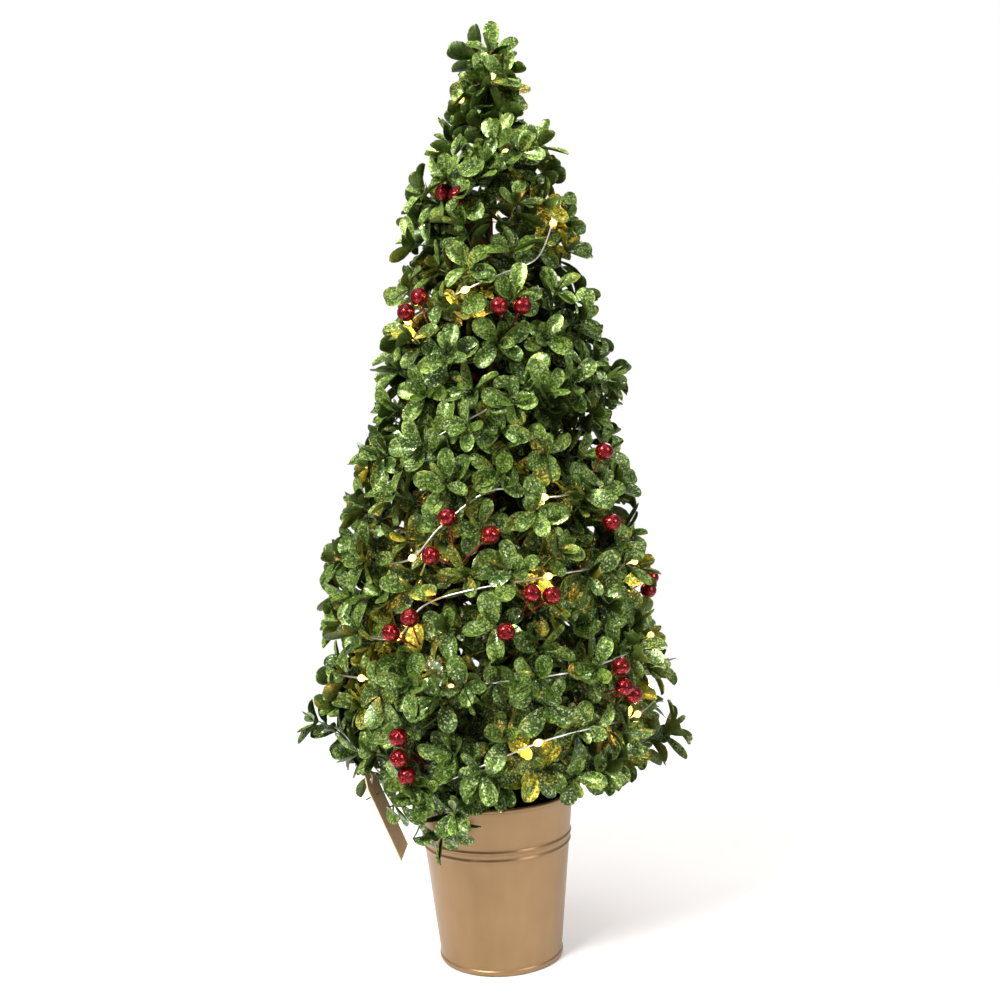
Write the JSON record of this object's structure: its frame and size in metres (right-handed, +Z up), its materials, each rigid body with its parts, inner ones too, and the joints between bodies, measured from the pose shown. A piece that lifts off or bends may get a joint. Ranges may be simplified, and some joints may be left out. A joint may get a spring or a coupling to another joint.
{
  "type": "artificial tabletop tree",
  "caption": "Narrow cone-shaped artificial boxwood tree with glittered leaves, red berry picks and battery-powered string lights, in a tapered metal pot.",
  "frame": {"origin": "middle of the pot's foot, on the surface that it stands on", "axes": "+Z up along the pot's axis; the front is towards -Y and the battery box is behind the trunk, towards +Y"},
  "size_m": [0.2592, 0.2379, 0.6093],
  "materials": {
    "pot_metal": "satin metallic gold-copper paint",
    "ballast": "matte",
    "foam": "matte",
    "trunk": "matte",
    "leaf_green": "satin with fine glitter",
    "berry_red": "gloss with fine glitter",
    "string_wire": "polished, with clear resin beads at the lights",
    "box_plastic": "matte",
    "cell_wrap": "gloss",
    "contact_metal": "satin",
    "tag_card": "matte",
    "twine": "matte"
  },
  "bodies": {
    "tree": {"pot_shell": "pot_metal", "pot_base": "pot_metal", "ballast": "ballast", "foam_plug": "foam", "trunk": "trunk", "battery_box": "box_plastic", "cell_1": "cell_wrap", "cell_2": "cell_wrap", "contact_spring_1": "contact_metal", "contact_spring_2": "contact_metal", "contact_plate_1": "contact_metal", "contact_plate_2": "contact_metal", "light_string": "string_wire", "berry_pick_upper_front": "berry_red", "berry_pick_upper_left": "berry_red", "berry_pick_middle_left": "berry_red", "berry_pick_middle_front": "berry_red", "berry_pick_lower_left": "berry_red", "berry_pick_lower_right": "berry_red", "berry_pick_rim_left": "berry_red", "berry_pick_right": "berry_red", "berry_pick_high_left": "berry_red", "berry_pick_right_back": "berry_red", "berry_pick_back": "berry_red", "berry_pick_back_low": "berry_red", "berry_pick_left_back": "berry_red", "branch_01": "leaf_green", "branch_02": "leaf_green", "branch_03": "leaf_green", "branch_04": "leaf_green", "branch_05": "leaf_green", "branch_06": "leaf_green", "branch_07": "leaf_green", "branch_08": "leaf_green", "branch_09": "leaf_green", "branch_10": "leaf_green", "branch_11": "leaf_green", "branch_12": "leaf_green", "branch_13": "leaf_green", "branch_14": "leaf_green", "branch_15": "leaf_green", "branch_16": "leaf_green", "branch_17": "leaf_green", "branch_18": "leaf_green", "branch_19": "leaf_green", "branch_20": "leaf_green", "branch_21": "leaf_green", "branch_22": "leaf_green", "branch_23": "leaf_green", "branch_24": "leaf_green", "branch_25": "leaf_green", "branch_26": "leaf_green", "branch_27": "leaf_green", "branch_28": "leaf_green", "branch_29": "leaf_green", "branch_30": "leaf_green"},
    "door": {"battery_door": "box_plastic"},
    "switch": {"switch_slider": "box_plastic"},
    "tag": {"hang_tag": "tag_card", "tag_string": "twine"}
  },
  "joints": [
    {"name": "battery_door_slide", "type": "slide", "parent": "tree", "child": "door", "axis": [0, 0, 1], "range_m": [0, 0.03]},
    {"name": "power_switch_slide", "type": "slide", "parent": "tree", "child": "switch", "axis": [1, 0, 0], "range_m": [-0.003, 0.003]},
    {"name": "tag_swing", "type": "hinge", "parent": "tree", "child": "tag", "pos_m": [-0.08272, -0.03564, 0.14], "axis": [0, 1, 0], "range_deg": [-10, 45]}
  ]
}
